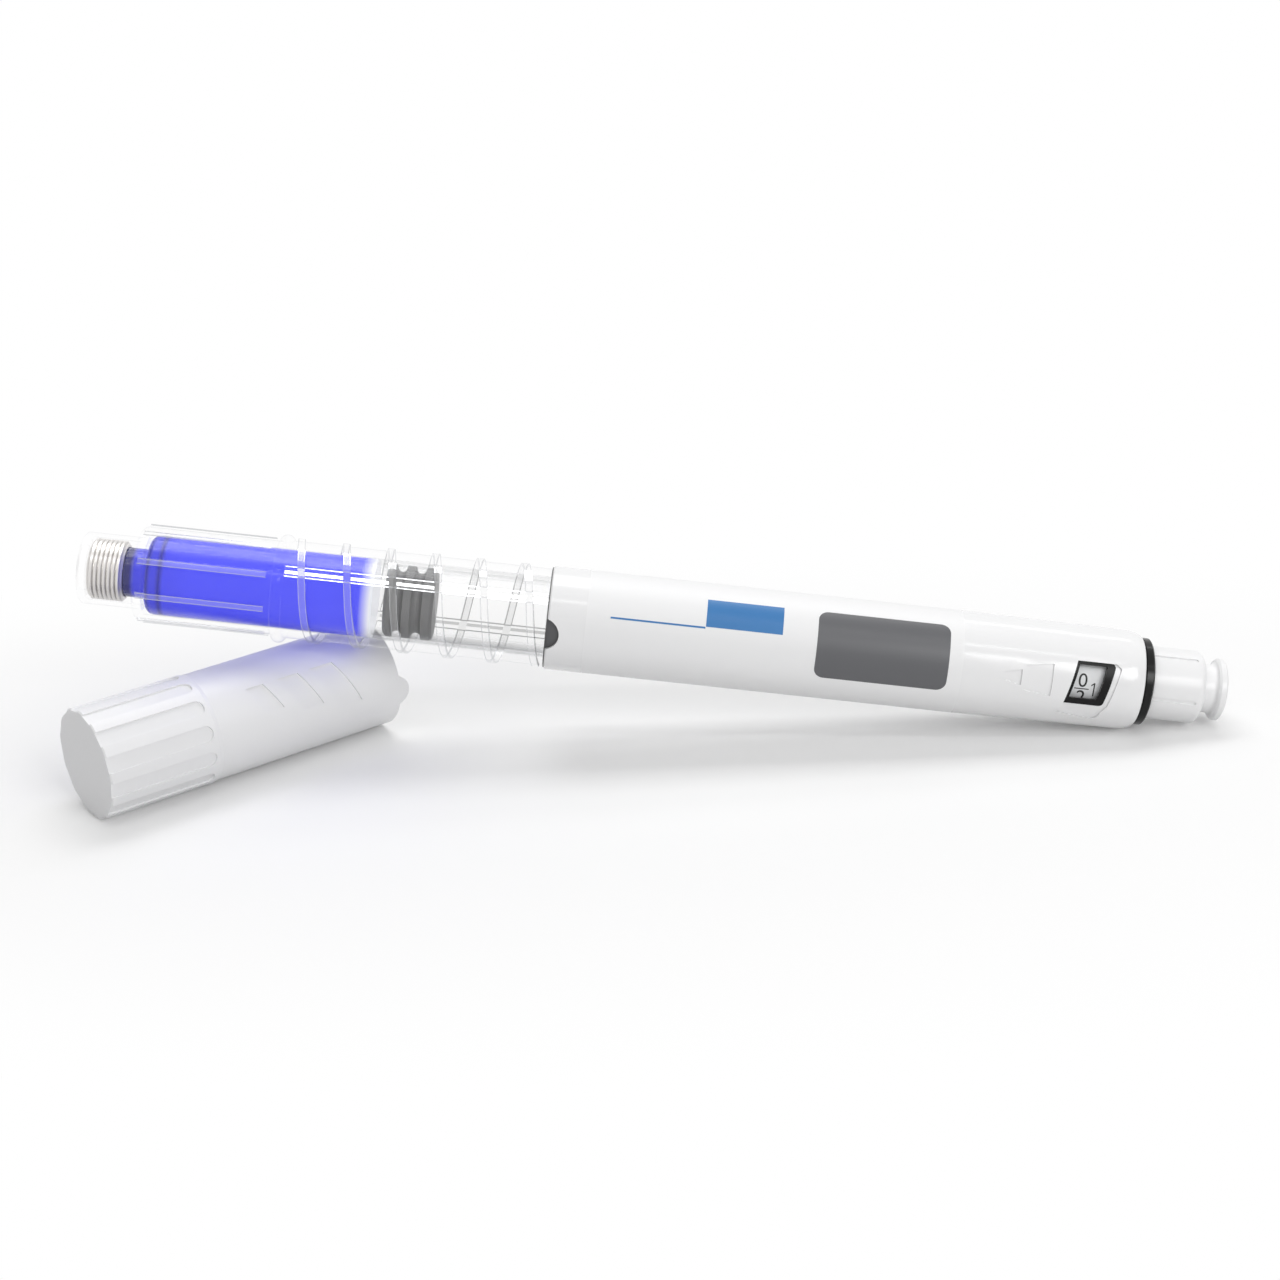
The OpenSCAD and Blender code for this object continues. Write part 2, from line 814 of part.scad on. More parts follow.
// Dark ring between the holder's spigot and the housing, with a thin lip over the front edge
module seat_ring() {
    end = body_z + ring_seat_len - slip;
    color([0.28, 0.28, 0.29]) in_pen()
        rotate_extrude()
            polygon([
                [socket_r, gasket_z],
                [body_r - body_edge, gasket_z],
                [body_r - body_edge, body_z - seat],
                [ring_seat_r - seat, body_z - seat],
                [ring_seat_r - seat, end],
                [socket_r, end]
            ]);
}

lens_w = window_len - rim_narrow - rim_broad;
lens_h = window_h - rim_narrow - rim_low;
module lens_outline(gap) {
    translate([(rim_narrow - rim_broad) / 2, (rim_low - rim_narrow) / 2])
        leaning_plate(lens_w - 2 * gap, lens_h - 2 * gap, window_lean * lens_h / window_h, seat);
}

// Black frame of the dose window
module window_frame() {
    color([0.06, 0.06, 0.06]) in_pen()
        intersection() {
            on_side(window_turn, window_z)
                linear_extrude(body_r + over)
                    difference() {
                        leaning_plate(window_len, window_h, window_lean, frame_corner);
                        lens_outline(0);
                    }
            tube(scoop_r + frame_rise, mech_r, window_z - window_len, 2 * window_len);
        }
}

// Clear lens of the dose window
module window_lens() {
    color([0.8, 0.85, 0.88, 0.4]) in_pen()
        intersection() {
            on_side(window_turn, window_z)
                linear_extrude(body_r + over)
                    lens_outline(seat);
            tube(scoop_r - lens_sink, scoop_r - lens_sink - lens_t, window_z - window_len, 2 * window_len);
        }
}

// Ring on the rear edge of the glass, which the cartridge spring pushes
module cartridge_ring() {
    color([0.8, 0.8, 0.8]) in_pen()
        tube(holder_in - 2 * slip, foot_d / 2 + 3 * slip, cart_ring_z, cart_ring_t);
}

module cartridge_spring() {
    color([0.7, 0.7, 0.72]) in_pen()
        coil(holder_in - cart_wire, cart_wire, cart_spring_z, cart_spring_len, cart_turns);
}

module rod_outline(gap) {
    intersection() {
        circle(r = rod_d / 2 + gap);
        square([rod_d + 2 * over, rod_flats + 2 * gap], center = true);
    }
}

// Fixed guide whose two flats keep the lead screw from turning
module rod_guide() {
    color([0.85, 0.85, 0.87]) in_pen()
        translate([0, 0, guide_z])
            linear_extrude(guide_len)
                difference() {
                    circle(r = mech_r - seat);
                    rod_outline(slip);
                }
}

module lead_screw() {
    color([0.9, 0.9, 0.9]) in_pen()
        translate([0, 0, foot_end])
            linear_extrude(rod_end - foot_end)
                rod_outline(0);
}

// Foot that presses on the plunger
module rod_foot() {
    color([0.35, 0.35, 0.37]) in_pen()
        rotate_extrude()
            polygon([
                [0, foot_z],
                [foot_d / 2 - foot_edge, foot_z],
                [foot_d / 2, foot_z + foot_edge],
                [foot_d / 2, foot_end - foot_edge],
                [foot_d / 2 - foot_edge, foot_end],
                [0, foot_end]
            ]);
}

// Dog teeth round a sleeve's end, rooted in the sleeve by their own height on each side
module dogs(r_out, r_in, z, turn) {
    intersection() {
        tube(r_out, r_in, z - dog_h, 2 * dog_h);
        for (i = [0:dog_count - 1])
            rotate([0, 0, turn + 360 * i / dog_count])
                translate([0, -dog_w / 2, z - dog_h])
                    cube([r_out + over, dog_w, 2 * dog_h]);
    }
}

// Nut that turns on the lead screw and drives it forwards
module drive_nut() {
    color([0.55, 0.6, 0.68]) in_pen() {
        tube(mech_r - run, rod_d / 2 + slip, nut_z, nut_flange_t);
        tube(nut_d / 2, rod_d / 2 + slip, nut_z, nut_len);
        dogs(nut_d / 2, rod_d / 2 + slip, nut_end, 0);
    }
}

module nut_retainer() {
    color([0.8, 0.8, 0.82]) in_pen()
        tube(mech_r - seat, nut_d / 2 + 2 * slip, retainer_z, retainer_t);
}

// Fixed click ring: one tooth for each unit of the dose
module ratchet_ring() {
    valley = sleeve_r + click_hub + ratchet_depth + 4 * slip;
    tip = valley - ratchet_depth;
    color([0.75, 0.77, 0.8]) in_pen()
        translate([0, 0, ratchet_z])
            linear_extrude(ratchet_t)
                difference() {
                    circle(r = mech_r - seat);
                    polygon([
                        for (i = [0:click_count - 1], k = [0, 1])
                            let (t = 360 * (i + tooth_share * k) / click_count, r = k == 0 ? tip : valley)
                                [r * cos(t), r * sin(t)]
                    ]);
                }
}

// Click wheel on the dial sleeve, with its pawls
module click_wheel() {
    hub = sleeve_r + click_hub / 2;
    tip = sleeve_r + click_hub + slip;
    color([0.6, 0.7, 0.6]) in_pen()
        translate([0, 0, ratchet_z])
            linear_extrude(ratchet_t)
                difference() {
                    union() {
                        circle(r = hub);
                        for (i = [0:pawl_count - 1])
                            rotate([0, 0, 360 * i / pawl_count])
                                polygon([
                                    [hub * cos(pawl_turns[0]), -hub * sin(pawl_turns[0])],
                                    [tip, 0],
                                    [hub * cos(pawl_turns[1]), hub * sin(pawl_turns[1])]
                                ]);
                    }
                    circle(r = sleeve_r + seat);
                }
}

// Torsion spring that drives the dose out
module drive_spring() {
    start = ratchet_z + ratchet_t + run;
    color([0.65, 0.66, 0.68]) in_pen()
        coil((sleeve_r + mech_r) / 2, drive_wire, start, drum_z - run - start, drive_turns);
}

module dial_sleeve() {
    color([0.9, 0.9, 0.92]) in_pen() {
        tube(sleeve_r, sleeve_in, sleeve_z, sleeve_end - sleeve_z);
        dogs(sleeve_r, sleeve_in, sleeve_z, 180 / dog_count);
    }
}

// Drum that carries the dose numbers past the window
module dose_drum() {
    color([0.86, 0.87, 0.88]) in_pen()
        rotate_extrude()
            polygon([
                [sleeve_r + seat, drum_z],
                [drum_r, drum_z],
                [drum_r, drum_end],
                [sleeve_r + seat, drum_end],
                [sleeve_r + seat, drum_end - web_t],
                [drum_r - drum_wall, drum_end - web_t],
                [drum_r - drum_wall, drum_z + web_t],
                [sleeve_r + seat, drum_z + web_t]
            ]);
}

// Bush that carries the dial sleeve in the tail
module rear_bush() {
    color([0.7, 0.7, 0.72]) in_pen()
        rotate_extrude()
            polygon([
                [bush_in, bush_z],
                [mech_r - seat, bush_z],
                [mech_r - seat, tail_inner - seat],
                [tail_bore - seat, tail_inner - seat],
                [tail_bore - seat, body_end - seat],
                [bush_in, body_end - seat]
            ]);
}

// Glossy black ring behind the housing
module rear_ring() {
    r = ring_d / 2;
    end = ring_z + ring_w;
    color([0.05, 0.05, 0.05]) in_pen()
        rotate_extrude()
            polygon([
                [bush_in, ring_z],
                [r - ring_edge, ring_z],
                [r, ring_z + ring_edge],
                [r, end - ring_edge],
                [r - ring_edge, end],
                [bush_in, end]
            ]);
}

// White knob that sets the dose, with grip flats between a skirt and a rounded rim
module dose_knob() {
    mouth = stem_r + slip;
    color([0.95, 0.95, 0.95]) in_pen()
        difference() {
            rotate_extrude()
                polygon(concat(
                    [[sleeve_r + seat, knob_z], [knob_r - body_edge, knob_z], [knob_r, knob_z + body_edge]],
                    arc(knob_r - knob_edge, knob_end - knob_edge, knob_edge, knob_edge, 0, 90, 6),
                    [
                        [mouth + flare, knob_end],
                        [mouth, knob_end - flare],
                        [mouth, lip_z],
                        [clip_r + 2 * slip, lip_z],
                        [clip_r + 2 * slip, web_end],
                        [0, web_end],
                        [0, web_end - knob_web],
                        [sleeve_r + seat, web_end - knob_web]
                    ]
                ));
            for (i = [0:groove_count - 1])
                groove_cut(
                    groove_turn + 360 * i / groove_count, knob_z,
                    knob_len - 1.2 * knob_edge, knob_r - groove_depth, groove_w
                );
        }
}

// Push button: hollow stem that flares into a round flange with a shallow dish
module injection_button() {
    color([0.94, 0.94, 0.94]) in_pen()
        rotate_extrude()
            polygon(concat(
                [[stem_r - stem_wall, clip_z], [stem_r, clip_z]],
                arc(stem_r + flare, flange_z - flare, -flare, flare, 0, 90, 5),
                [[button_r - button_edge, flange_z], [button_r, flange_z + button_edge]],
                [[button_r, pen_end - button_edge], [button_r - button_edge, pen_end]],
                [
                    [button_r - 3 * button_edge, pen_end],
                    [button_r / 2, pen_end - dish_depth],
                    [0, pen_end - dish_depth]
                ],
                [[0, flange_z - stem_roof / 2], [stem_r - stem_wall, flange_z - stem_roof / 2]]
            ));
}

// Ring that keeps the button in the knob
module button_clip() {
    color([0.6, 0.6, 0.62]) in_pen()
        tube(clip_r, stem_r + seat, clip_z, clip_t);
}

module button_spring() {
    start = web_end + slip;
    color([0.7, 0.7, 0.72]) in_pen()
        coil(button_coil_r, button_wire, start, flange_z - stem_roof / 2 - slip - start, button_turns);
}

cap();
cartridge_holder();
cartridge_glass();
crimp_cap();
septum();
liquid();
plunger();
housing();
seat_ring();
window_frame();
window_lens();
cartridge_ring();
cartridge_spring();
rod_guide();
lead_screw();
rod_foot();
drive_nut();
nut_retainer();
ratchet_ring();
click_wheel();
drive_spring();
dial_sleeve();
dose_drum();
rear_bush();
rear_ring();
dose_knob();
injection_button();
button_clip();
button_spring();
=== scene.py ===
import json
import math

import bmesh
import bpy
from mathutils import Matrix, Vector


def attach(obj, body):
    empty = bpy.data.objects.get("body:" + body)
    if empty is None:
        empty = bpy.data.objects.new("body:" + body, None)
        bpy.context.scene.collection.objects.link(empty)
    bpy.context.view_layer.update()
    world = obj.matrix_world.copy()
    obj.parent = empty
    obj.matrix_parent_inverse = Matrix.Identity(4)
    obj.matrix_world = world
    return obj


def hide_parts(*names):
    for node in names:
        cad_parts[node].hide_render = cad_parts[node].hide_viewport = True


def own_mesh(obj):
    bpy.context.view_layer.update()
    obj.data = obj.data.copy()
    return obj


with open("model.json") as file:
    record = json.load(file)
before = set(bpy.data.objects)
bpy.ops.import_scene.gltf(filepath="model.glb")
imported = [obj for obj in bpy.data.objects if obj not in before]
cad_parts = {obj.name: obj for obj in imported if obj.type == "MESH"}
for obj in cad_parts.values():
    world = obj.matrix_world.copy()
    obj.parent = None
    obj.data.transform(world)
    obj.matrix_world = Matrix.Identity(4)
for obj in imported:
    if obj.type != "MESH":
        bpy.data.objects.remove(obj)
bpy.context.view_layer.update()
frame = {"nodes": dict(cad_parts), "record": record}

# Camera
# The viewpoint of the photograph: a long lens a little above the table, turned slightly
# left and rolled slightly, as the pen's slant and the cap's oval end show.
MM = 0.001
CAMERA_PLACE = Vector((10.146, -294.271, 142.811)) * MM
CAMERA_HEADING, CAMERA_DROP, CAMERA_ROLL = (math.radians(v) for v in (-2.217, 22.888, 2.318))
CAMERA_LENS = 63.341

forward = Vector((
    math.sin(CAMERA_HEADING) * math.cos(CAMERA_DROP),
    math.cos(CAMERA_HEADING) * math.cos(CAMERA_DROP),
    -math.sin(CAMERA_DROP)))
level_right = Vector((math.cos(CAMERA_HEADING), -math.sin(CAMERA_HEADING), 0))
level_down = forward.cross(level_right)
right = level_right * math.cos(CAMERA_ROLL) + level_down * math.sin(CAMERA_ROLL)
down = level_down * math.cos(CAMERA_ROLL) - level_right * math.sin(CAMERA_ROLL)

camera = bpy.data.objects.new("camera", bpy.data.cameras.new("camera"))
camera.data.sensor_width = 36
camera.data.lens = CAMERA_LENS
camera.data.clip_start = 0.01
turned_to_pen = Matrix((right, -down, -forward)).transposed().to_4x4()
camera.matrix_world = Matrix.Translation(CAMERA_PLACE) @ turned_to_pen
bpy.context.scene.collection.objects.link(camera)
bpy.context.scene.camera = camera
bpy.context.scene.view_settings.view_transform = "Standard"

# Table and studio light
# A wide sheet of white card, lit by the white room and by four soft lamps. Away from the
# pen the card melts into the white background; near it, it keeps the shadow.
TABLE_HALF, TABLE_DROP = 3.0, 0.00002
TABLE_SEEN, TABLE_BOUNCE = (0.97, 0.97, 0.97, 1), (0.72, 0.72, 0.72, 1)
MELT_SHAPE, MELT_FROM, MELT_TO, MELT_LEAST = (0.42, 1.0, 1.0), 0.02, 0.085, 0.05
ROOM_LIGHT = 0.40


def new_material(name):
    """An empty node material: its nodes, a linking function and its output."""
    material = bpy.data.materials.new(name)
    material.use_nodes = True
    nodes, links = material.node_tree.nodes, material.node_tree.links
    nodes.clear()
    return material, nodes, links.new, nodes.new("ShaderNodeOutputMaterial")


def node(nodes, kind, settings=(), **values):
    """One shader node, with its own settings and the values of its named inputs."""
    made = nodes.new("ShaderNode" + kind)
    for key, value in dict(settings).items():
        setattr(made, key, value)
    for key, value in values.items():
        made.inputs[key.replace("_", " ")].default_value = value
    return made


def calc(nodes, link, operation, *terms, clamp=False):
    """A Math node on sockets or plain numbers."""
    made = node(nodes, "Math", {"operation": operation, "use_clamp": clamp})
    for slot, term in zip(made.inputs, terms):
        if isinstance(term, (int, float)):
            slot.default_value = term
        else:
            link(term, slot)
    return made.outputs[0]


def mix_colours(nodes, link, share, first, second):
    """A Mix node between two colours or sockets."""
    made = node(nodes, "Mix", {"data_type": "RGBA"})
    link(share, made.inputs["Factor"])
    for slot, term in ((made.inputs[6], first), (made.inputs[7], second)):
        if isinstance(term, tuple):
            slot.default_value = term
        else:
            link(term, slot)
    return made.outputs[2]


def seen_rays(nodes, link):
    """1 for what the camera sees directly, in gloss or through clear parts, otherwise 0."""
    path = node(nodes, "LightPath")
    camera_ray, gloss_ray = path.outputs["Is Camera Ray"], path.outputs["Is Glossy Ray"]
    either = calc(nodes, link, "MAXIMUM", camera_ray, gloss_ray)
    return calc(nodes, link, "MAXIMUM", either, path.outputs["Is Transmission Ray"])


table_mesh = bpy.data.meshes.new("table")
edge_steps = [-TABLE_HALF, -0.5, -0.2, 0, 0.2, 0.5, TABLE_HALF]
table_mesh.from_pydata(
    [(x, y, -TABLE_DROP) for y in edge_steps for x in edge_steps], [],
    [(7 * j + i, 7 * j + i + 1, 7 * j + i + 8, 7 * j + i + 7) for j in range(6) for i in range(6)])
table = bpy.data.objects.new("table", table_mesh)
bpy.context.scene.collection.objects.link(table)

card, nodes, link, output = new_material("white_card")
surface = node(nodes, "BsdfPrincipled", Specular_IOR_Level=0.1, Roughness=0.9)
seen = seen_rays(nodes, link)
link(mix_colours(nodes, link, seen, TABLE_BOUNCE, TABLE_SEEN), surface.inputs["Base Color"])
glow = node(nodes, "Emission", Color=(1, 1, 1, 1), Strength=1.0)
place = node(nodes, "TexCoord")
oval = node(nodes, "VectorMath", {"operation": "MULTIPLY"})
link(place.outputs["Object"], oval.inputs[0])
oval.inputs[1].default_value = MELT_SHAPE
distance = node(nodes, "VectorMath", {"operation": "LENGTH"})
link(oval.outputs[0], distance.inputs[0])
melt = node(nodes, "MapRange", {"interpolation_type": "SMOOTHSTEP"},
            From_Min=MELT_FROM, From_Max=MELT_TO, To_Min=MELT_LEAST)
link(distance.outputs["Value"], melt.inputs["Value"])
share = calc(nodes, link, "MULTIPLY", melt.outputs["Result"], seen)
blend = node(nodes, "MixShader")
link(share, blend.inputs["Fac"])
link(surface.outputs["BSDF"], blend.inputs[1])
link(glow.outputs["Emission"], blend.inputs[2])
link(blend.outputs["Shader"], output.inputs["Surface"])
table_mesh.materials.append(card)

world = bpy.data.worlds.new("white_room")
bpy.context.scene.world = world
world.use_nodes = True
nodes, link = world.node_tree.nodes, world.node_tree.links.new
nodes.clear()
room = node(nodes, "Background", Color=(1, 1, 1, 1))
strength = node(nodes, "MapRange", To_Min=ROOM_LIGHT, To_Max=1.0)
link(seen_rays(nodes, link), strength.inputs["Value"])
link(strength.outputs["Result"], room.inputs["Strength"])
link(room.outputs["Background"], node(nodes, "OutputWorld").inputs["Surface"])

# name, place, aim, width, height, watts (metres)
LAMPS = [
    ("overhead_softbox", (-0.02, 0.22, 0.60), (0, 0, 0), 0.50, 0.24, 1.45),
    ("front_strip", (0.00, -0.28, 0.56), (0, 0, 0), 0.60, 0.05, 0.4),
    ("right_softbox", (0.38, -0.50, 0.36), (0.02, 0, 0.01), 0.30, 0.30, 1.6),
    ("back_strip", (0.05, 0.42, 0.50), (0, 0, 0.01), 0.60, 0.05, 0.35),
]
for name, place, aim, width, height, watts in LAMPS:
    lamp = bpy.data.objects.new(name, bpy.data.lights.new(name, "AREA"))
    lamp.data.shape = "RECTANGLE"
    lamp.data.size, lamp.data.size_y, lamp.data.energy = width, height, watts
    lamp.location = place
    lamp.rotation_euler = (Vector(aim) - Vector(place)).to_track_quat("-Z", "Y").to_euler()
    bpy.context.scene.collection.objects.link(lamp)

# Clear cartridge holder
# One clear moulding: nose, grip ribs, collar, helical rib and two long rails. Polished
# plastic lets nearly everything through and shines at its edges; the ribs look milky, and
# painted lines and a painted highlight mark the rib edges and rails.
NEEDLE_PORT_AT = 0.55
needle_port = next(m for m in frame["record"]["mounts"] if m["name"] == "needle_port")
PEN_REAR = -Vector(needle_port["axis"]).normalized()
PEN_TIP = Vector(needle_port["pos_m"]) - PEN_REAR * NEEDLE_PORT_AT * MM
PEN_UP = (Vector((0, 0, 1)) - PEN_REAR * PEN_REAR.z).normalized()
PEN_SIDE = PEN_REAR.cross(PEN_UP)
FRONT_WALL_R, REAR_WALL_R, WALLS_MEET = 6.85, 7.07, 27.9
NUMBER = "NodeSocketFloat"


def pen(radius, turn, along):
    """A point of the pen, in metres. Radius and place are in mm, the turn as PEN_SIDE has it."""
    a = math.radians(turn)
    outwards = PEN_SIDE * math.cos(a) + PEN_UP * math.sin(a)
    return PEN_TIP + (PEN_REAR * along + outwards * radius) * MM


def group(name, inputs, outputs):
    """A node group with named sockets: the group, its nodes, links, input and output."""
    tree = bpy.data.node_groups.new(name, "ShaderNodeTree")
    for label, value in inputs.items():
        tree.interface.new_socket(label, in_out="INPUT", socket_type=NUMBER).default_value = value
    for label in outputs:
        tree.interface.new_socket(label, in_out="OUTPUT", socket_type=NUMBER)
    ends = tree.nodes.new("NodeGroupInput"), tree.nodes.new("NodeGroupOutput")
    return tree, tree.nodes, tree.links.new, *ends


def use(nodes, tree, **values):
    """A node group placed in a material with its own values."""
    made = nodes.new("ShaderNodeGroup")
    made.node_tree = tree
    for key, value in values.items():
        made.inputs[key.replace("_", " ")].default_value = value
    return made


# Where a point of the surface lies on the pen: millimetres from the nose and from the axis,
# and degrees upwards from the viewer's side
pen_place, nodes, link, _, outs = group("pen_place", {}, ["Along", "Radius", "Turn"])
spot = node(nodes, "TexCoord")
offset = node(nodes, "VectorMath", {"operation": "SUBTRACT"})
link(spot.outputs["Object"], offset.inputs[0])
offset.inputs[1].default_value = PEN_TIP
run = node(nodes, "VectorMath", {"operation": "DOT_PRODUCT"})
link(offset.outputs[0], run.inputs[0])
run.inputs[1].default_value = PEN_REAR
away = node(nodes, "VectorMath", {"operation": "CROSS_PRODUCT"})
link(offset.outputs[0], away.inputs[0])
away.inputs[1].default_value = PEN_REAR
reach = node(nodes, "VectorMath", {"operation": "LENGTH"})
link(away.outputs[0], reach.inputs[0])
sideways = node(nodes, "VectorMath", {"operation": "DOT_PRODUCT"})
link(offset.outputs[0], sideways.inputs[0])
sideways.inputs[1].default_value = PEN_SIDE
upwards = node(nodes, "VectorMath", {"operation": "DOT_PRODUCT"})
link(offset.outputs[0], upwards.inputs[0])
upwards.inputs[1].default_value = PEN_UP
angle = calc(nodes, link, "ARCTAN2", upwards.outputs["Value"], sideways.outputs["Value"])
link(calc(nodes, link, "DEGREES", angle), outs.inputs["Turn"])
link(calc(nodes, link, "MULTIPLY", run.outputs["Value"], 1 / MM), outs.inputs["Along"])
link(calc(nodes, link, "MULTIPLY", reach.outputs["Value"], 1 / MM), outs.inputs["Radius"])


# Painted light and shade: the edges of the ribs are drawn as fine lines, as where they catch
# the light. Each is found by its distance, in mm, from the middle line of the helix, of the
# nearest grip rib or of the nearest rail. A band is given as its middle and half its width;
# heights stand above the holder's own wall.
HELIX_PITCH, HELIX_PHASE, HELIX_EDGE = 6.5, 0.39, (0.53, 0.11)
RIB_STEP, RIB_TURN, RIB_EDGE = 40.0, -3.8, (0.39, 0.07)
RAIL_STEP, RAIL_TURN, RAIL_EDGE, RAIL_SHINE = 180.0, 42.8, (0.76, 0.08), (-0.12, 0.24)
RIB_CREST_R = 7.26
COLLAR_MIDDLE, COLLAR_EDGE, COLLAR_HEIGHT = 28.9, (0.87, 0.10), 0.44
LINE_HEIGHT, CREST_HEIGHT, SHINE_HEIGHT = (0.22, 0.20), (0.40, 0.04), (0.21, 0.02)
ribs, nodes, link, _, outs = group("ribs", {}, ["Edges", "Crests", "Shine"])
spot = use(nodes, pen_place)
along, turn = spot.outputs["Along"], spot.outputs["Turn"]
rear = calc(nodes, link, "GREATER_THAN", along, WALLS_MEET)
wall = calc(nodes, link, "MULTIPLY_ADD", rear, REAR_WALL_R - FRONT_WALL_R, FRONT_WALL_R)
height = calc(nodes, link, "SUBTRACT", spot.outputs["Radius"], wall)


def across_rib(step, first):
    """Millimetres from the middle line of the nearest lengthwise rib."""
    turned_by = calc(nodes, link, "SUBTRACT", turn, first)
    near = calc(nodes, link, "WRAP", turned_by, step / 2, -step / 2)
    return calc(nodes, link, "MULTIPLY", near, math.radians(RIB_CREST_R))


def within(value, band):
    """1 where a value lies in a band, otherwise 0."""
    return calc(nodes, link, "COMPARE", value, *band)


def both_sides(value, band):
    """1 where a value lies in a band on either side of zero, otherwise 0."""
    return within(calc(nodes, link, "ABSOLUTE", value), band)


wound = calc(nodes, link, "MULTIPLY_ADD", turn, HELIX_PITCH / 360, along)
wound = calc(nodes, link, "SUBTRACT", wound, HELIX_PHASE)
across_helix = calc(nodes, link, "WRAP", wound, HELIX_PITCH / 2, -HELIX_PITCH / 2)
across_rail = across_rib(RAIL_STEP, RAIL_TURN)
off_rail = calc(nodes, link, "ABSOLUTE", across_rail)
off_rail = calc(nodes, link, "GREATER_THAN", off_rail, RAIL_EDGE[0])
helix_lines = calc(nodes, link, "MULTIPLY", both_sides(across_helix, HELIX_EDGE), off_rail)
rear_lines = calc(nodes, link, "MAXIMUM", helix_lines, both_sides(across_rail, RAIL_EDGE))
rear_lines = calc(nodes, link, "MULTIPLY", rear_lines, rear)
front = calc(nodes, link, "SUBTRACT", 1.0, rear)
rib_lines = both_sides(across_rib(RIB_STEP, RIB_TURN), RIB_EDGE)
front_lines = calc(nodes, link, "MULTIPLY", rib_lines, front)
low_lines = calc(nodes, link, "ADD", rear_lines, front_lines)
low_lines = calc(nodes, link, "MULTIPLY", low_lines, within(height, LINE_HEIGHT))
across_collar = calc(nodes, link, "SUBTRACT", along, COLLAR_MIDDLE)
on_collar = calc(nodes, link, "GREATER_THAN", height, COLLAR_HEIGHT)
collar_lines = calc(nodes, link, "MULTIPLY", both_sides(across_collar, COLLAR_EDGE), on_collar)
link(calc(nodes, link, "MAXIMUM", low_lines, collar_lines), outs.inputs["Edges"])
link(within(height, CREST_HEIGHT), outs.inputs["Crests"])
# Shine: a painted highlight, a band along the middle of each rail's top.
shine = calc(nodes, link, "MULTIPLY", within(across_rail, RAIL_SHINE), within(height, SHINE_HEIGHT))
link(calc(nodes, link, "MULTIPLY", shine, rear), outs.inputs["Shine"])

# How much of each shows: the wall's film, the milky crests, the painted edge lines and the
# painted glint on the rails; and how much shadow the clear wall leaves on the table
WALL_FILM, CREST_MILK, PAINTED_EDGE_LINE, RAIL_GLINT, WALL_SHADOW = 0.012, 0.13, 0.6, 0.4, 0.11
RIM_SHARPNESS = 7.0
CLEAR_COLOUR, EDGE_COLOUR, RIM_BAND = (0.95, 0.95, 0.955, 1), (0.62, 0.63, 0.65, 1), (0.80, 0.97)

holder_clear, nodes, link, output = new_material("clear_plastic")
surface = node(nodes, "BsdfPrincipled", Metallic=1.0, Roughness=0.05)
rib = use(nodes, ribs)
grazing = node(nodes, "LayerWeight", Blend=0.5)
shadow_ray = node(nodes, "LightPath").outputs["Is Shadow Ray"]
share = calc(nodes, link, "MULTIPLY_ADD", rib.outputs["Crests"], CREST_MILK, WALL_FILM)
for part in (calc(nodes, link, "MULTIPLY", rib.outputs["Shine"], RAIL_GLINT),
             calc(nodes, link, "MULTIPLY", rib.outputs["Edges"], PAINTED_EDGE_LINE),
             calc(nodes, link, "POWER", grazing.outputs["Facing"], RIM_SHARPNESS),
             calc(nodes, link, "MULTIPLY", shadow_ray, WALL_SHADOW)):
    share = calc(nodes, link, "MAXIMUM", share, part)
link(share, surface.inputs["Alpha"])
# Painted light and shade: the edge lines take a grey colour.
clear_or_painted_line = mix_colours(nodes, link, rib.outputs["Edges"], CLEAR_COLOUR, EDGE_COLOUR)
very_edge = node(nodes, "MapRange", From_Min=RIM_BAND[0], From_Max=RIM_BAND[1])
link(grazing.outputs["Facing"], very_edge.inputs["Value"])
colour = mix_colours(nodes, link, very_edge.outputs["Result"], clear_or_painted_line, EDGE_COLOUR)
link(colour, surface.inputs["Base Color"])
link(surface.outputs["BSDF"], output.inputs["Surface"])


def finish_node(name, material):
    """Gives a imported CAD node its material."""
    mesh = frame["nodes"][name].data
    mesh.materials.clear()
    mesh.materials.append(material)


finish_node("cartridge_holder", holder_clear)

# Cartridge glass
# A drawn glass tube with a shoulder, neck and bead. Empty, it shows only as a soft grey
# band along its top and bottom; along the bottom the band is stronger, as painted shade.
SOFT_BAND, SHADE_BELOW_TURNS = (0.2, 0.8), (-0.35, -0.9)


def clear_material(name, colour, band, thin, shade_below=1.0):
    """Clear glass or a lens: a soft band towards its edges, made stronger on its underside
    by painted shade or not, and a fine bright line at them."""
    material, nodes, link, output = new_material(name)
    surface = node(nodes, "BsdfPrincipled", Base_Color=colour, Metallic=1.0, Roughness=0.03)
    grazing = node(nodes, "LayerWeight", Blend=0.5)
    soft = node(nodes, "MapRange", {"interpolation_type": "SMOOTHSTEP"},
                From_Min=SOFT_BAND[0], From_Max=SOFT_BAND[1], To_Max=band)
    link(grazing.outputs["Facing"], soft.inputs["Value"])
    line = calc(nodes, link, "POWER", grazing.outputs["Facing"], thin)
    turn = calc(nodes, link, "RADIANS", use(nodes, pen_place).outputs["Turn"])
    # Painted shade: on the underside the band is made stronger, for the shade reflected from below.
    shade_below_mask = node(nodes, "MapRange", {"interpolation_type": "SMOOTHSTEP"},
                 From_Min=SHADE_BELOW_TURNS[0], From_Max=SHADE_BELOW_TURNS[1], To_Min=1.0, To_Max=shade_below)
    link(calc(nodes, link, "SINE", turn), shade_below_mask.inputs["Value"])
    soft = calc(nodes, link, "MULTIPLY", soft.outputs["Result"], shade_below_mask.outputs["Result"])
    either = calc(nodes, link, "MAXIMUM", soft, line, clamp=True)
    link(either, surface.inputs["Alpha"])
    link(surface.outputs["BSDF"], output.inputs["Surface"])
    return material


